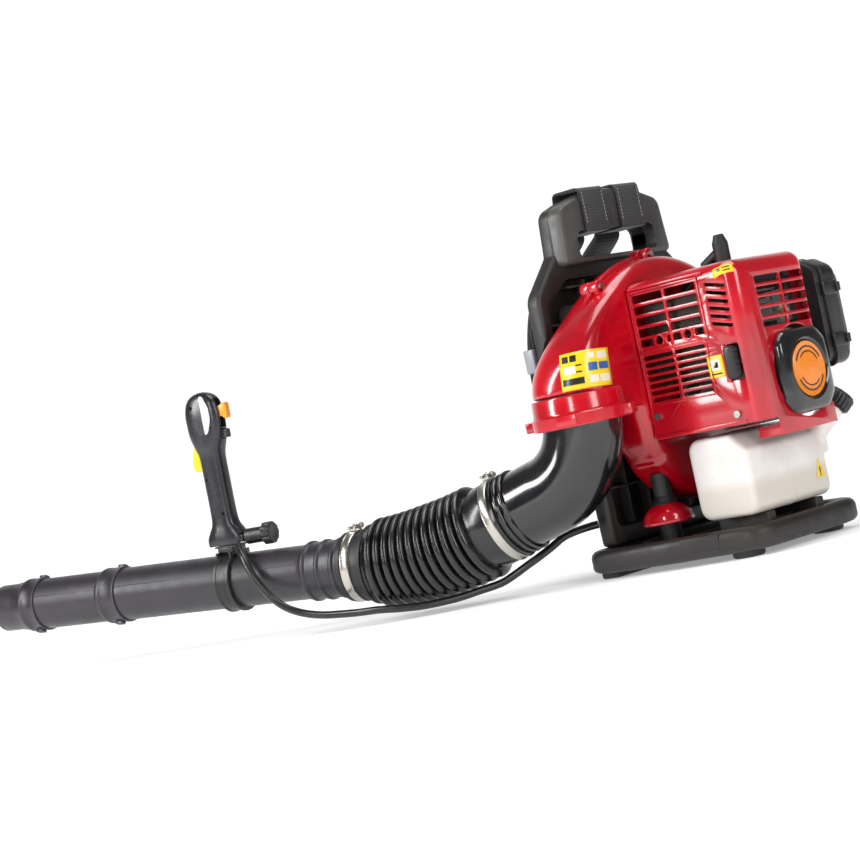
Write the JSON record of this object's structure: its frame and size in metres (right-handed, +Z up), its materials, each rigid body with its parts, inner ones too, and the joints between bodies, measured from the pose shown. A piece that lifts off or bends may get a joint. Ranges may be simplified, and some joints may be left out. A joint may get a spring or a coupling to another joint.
{
  "type": "backpack leaf blower",
  "caption": "Backpack leaf blower: frame with harness, engine-driven fan in a scroll case, swivelling elbow, flexible bellows, pipes and a control grip.",
  "frame": {"origin": "middle of the front runner's underside, on the floor, in the plane of the back frame", "axes": "+Z up, +X from the wearer's back toward the starter, +Y toward the air cleaner side; the tube leaves toward -X on the -Y side"},
  "size_m": [1.1439, 0.6135, 0.4924],
  "materials": {
    "frame_plastic": "satin moulded",
    "cover_red": "high gloss",
    "pad_fabric": "woven mesh",
    "strap_webbing": "woven webbing",
    "buckle_plastic": "satin",
    "screw_steel": "zinc plated",
    "fan_plastic": "moulded",
    "machined_steel": "ground",
    "bearing_steel": "polished",
    "cast_alloy": "die cast",
    "muffler_steel": "heat tinted",
    "ceramic": "glazed",
    "black_rubber": "satin",
    "black_plastic": "satin moulded",
    "primer_vinyl": "clear",
    "filter_felt": "felt",
    "badge_orange": "printed",
    "reel_plastic": "moulded",
    "rope_nylon": "braided",
    "tank_plastic": "translucent",
    "fuel_tube": "clear",
    "elbow_plastic": "gloss moulded",
    "pipe_plastic": "satin moulded",
    "band_steel": "stainless",
    "trigger_yellow": "moulded",
    "lever_orange": "moulded"
  },
  "bodies": {
    "root": {"base_frame": "frame_plastic", "back_frame": "frame_plastic", "back_pad": "pad_fabric", "shoulder_straps": "strap_webbing", "strap_buckles": "buckle_plastic", "fan_case_front": "cover_red", "fan_case_rear": "cover_red", "outlet_collar": "cover_red", "housing_screws": "screw_steel", "intake_guard": "frame_plastic", "crank_bearings": "bearing_steel", "crankcase": "cast_alloy", "cylinder_block": "cast_alloy", "piston": "cast_alloy", "muffler": "muffler_steel", "spark_plug": "ceramic", "plug_boot": "black_rubber", "plug_lead": "black_rubber", "ignition_coil": "black_plastic", "carburettor": "cast_alloy", "air_cleaner_base": "black_plastic", "air_filter": "filter_felt", "air_cleaner_cover": "black_plastic", "engine_cover": "cover_red", "starter_housing": "black_plastic", "starter_badge": "badge_orange", "recoil_spring": "machined_steel", "fuel_tank": "tank_plastic", "fuel_line": "fuel_tube", "mount_bells": "cover_red", "vibration_mounts": "black_rubber"},
    "rotor": {"fan": "fan_plastic", "crankshaft": "machined_steel", "flywheel": "cast_alloy"},
    "reel": {"starter_reel": "reel_plastic"},
    "pull_grip": {"starter_grip": "black_plastic", "starter_rope": "rope_nylon"},
    "choke": {"choke_lever": "black_plastic"},
    "primer": {"primer_bulb": "primer_vinyl"},
    "filter_knob": {"cleaner_knob": "black_plastic"},
    "cap_seal": {"cap_gasket": "black_rubber"},
    "cap": {"fuel_cap": "black_plastic"},
    "elbow_tube": {"elbow": "elbow_plastic", "rear_clamp": "band_steel", "bellows": "black_rubber", "throttle_cable_rear": "black_rubber"},
    "tube": {"hose_cuff": "black_rubber", "front_clamp": "band_steel", "swivel_pipe": "pipe_plastic", "middle_pipe": "pipe_plastic", "handle_clamp": "black_plastic", "grip_left_half": "elbow_plastic", "grip_right_half": "elbow_plastic", "throttle_cable_front": "black_rubber"},
    "nozzle_tip": {"nozzle": "pipe_plastic"},
    "bracket_knob": {"clamp_knob": "black_plastic"},
    "trigger": {"throttle_trigger": "trigger_yellow"},
    "lock_lever": {"throttle_lock": "lever_orange"},
    "stop_button": {"stop_switch": "black_plastic"}
  },
  "joints": [
    {"name": "crank_spin", "type": "hinge", "parent": "root", "child": "rotor", "pos_m": [0.1, 0, 0.208], "axis": [1, 0, 0], "continuous": true},
    {"name": "starter_pull", "type": "slide", "parent": "root", "child": "pull_grip", "axis": [0, -1, 0], "range_m": [0, 0.6], "stiffness_N_per_m": 12, "springref_m": -0.3, "deforming": ["starter_rope"]},
    {"name": "reel_turn", "type": "hinge", "parent": "root", "child": "reel", "pos_m": [0.2385, 0, 0.208], "axis": [1, 0, 0], "range_deg": [0, 1330]},
    {"name": "choke_turn", "type": "hinge", "parent": "root", "child": "choke", "pos_m": [0.2, 0.082, 0.306], "axis": [1, 0, 0], "range_deg": [0, 45]},
    {"name": "primer_press", "type": "slide", "parent": "root", "child": "primer", "axis": [-1, 0, 0], "range_m": [0, 0.005], "stiffness_N_per_m": 500, "deforming": ["primer_bulb"]},
    {"name": "filter_knob_turn", "type": "hinge", "parent": "root", "child": "filter_knob", "pos_m": [0.214, 0.155, 0.25], "axis": [0, 1, 0], "continuous": true},
    {"name": "cap_lift", "type": "slide", "parent": "root", "child": "cap_seal", "axis": [0.4777, 0.5693, 0.6691], "range_m": [0, 0.006]},
    {"name": "cap_turn", "type": "hinge", "parent": "cap_seal", "child": "cap", "pos_m": [0.235, 0.095, 0.158], "axis": [0.4777, 0.5693, 0.6691], "range_deg": [0, 541]},
    {"name": "elbow_swivel", "type": "hinge", "parent": "root", "child": "elbow_tube", "pos_m": [0.045, -0.17, 0.206], "axis": [0, 0, 1], "range_deg": [-12, 40], "deforming": ["throttle_cable_rear"]},
    {"name": "hose_flex", "type": "hinge", "parent": "elbow_tube", "child": "tube", "pos_m": [-0.18489, -0.2316, 0.077], "axis": [-0.2588, 0.9659, 0], "range_deg": [-5, 30], "deforming": ["bellows", "throttle_cable_front"]},
    {"name": "nozzle_twist", "type": "hinge", "parent": "tube", "child": "nozzle_tip", "pos_m": [-0.83919, -0.40692, 0.10568], "axis": [-0.9646, -0.2585, 0.0523], "range_deg": [0, 30]},
    {"name": "bracket_knob_turn", "type": "hinge", "parent": "tube", "child": "bracket_knob", "pos_m": [-0.43305, -0.29809, 0.14143], "axis": [0.9658, 0.2588, -0.0175], "continuous": true},
    {"name": "trigger_pull", "type": "hinge", "parent": "tube", "child": "trigger", "pos_m": [-0.49067, -0.31353, 0.27649], "axis": [0.2588, -0.9659, 0], "range_deg": [0, 18], "stiffness_Nm_per_rad": 0.3, "springref_deg": -17.19},
    {"name": "lock_turn", "type": "hinge", "parent": "tube", "child": "lock_lever", "pos_m": [-0.46496, -0.30664, 0.31204], "axis": [0.2588, -0.9659, 0], "range_deg": [0, 25]},
    {"name": "stop_press", "type": "slide", "parent": "tube", "child": "stop_button", "axis": [-0.9658, -0.2588, 0.0175], "range_m": [0, 0.003], "stiffness_N_per_m": 500}
  ],
  "couplings": [
    {"joint": "reel_turn", "follows": "starter_pull", "rad_per_m": 38.462},
    {"joint": "cap_turn", "follows": "cap_lift", "rad_per_m": 1570.8}
  ]
}
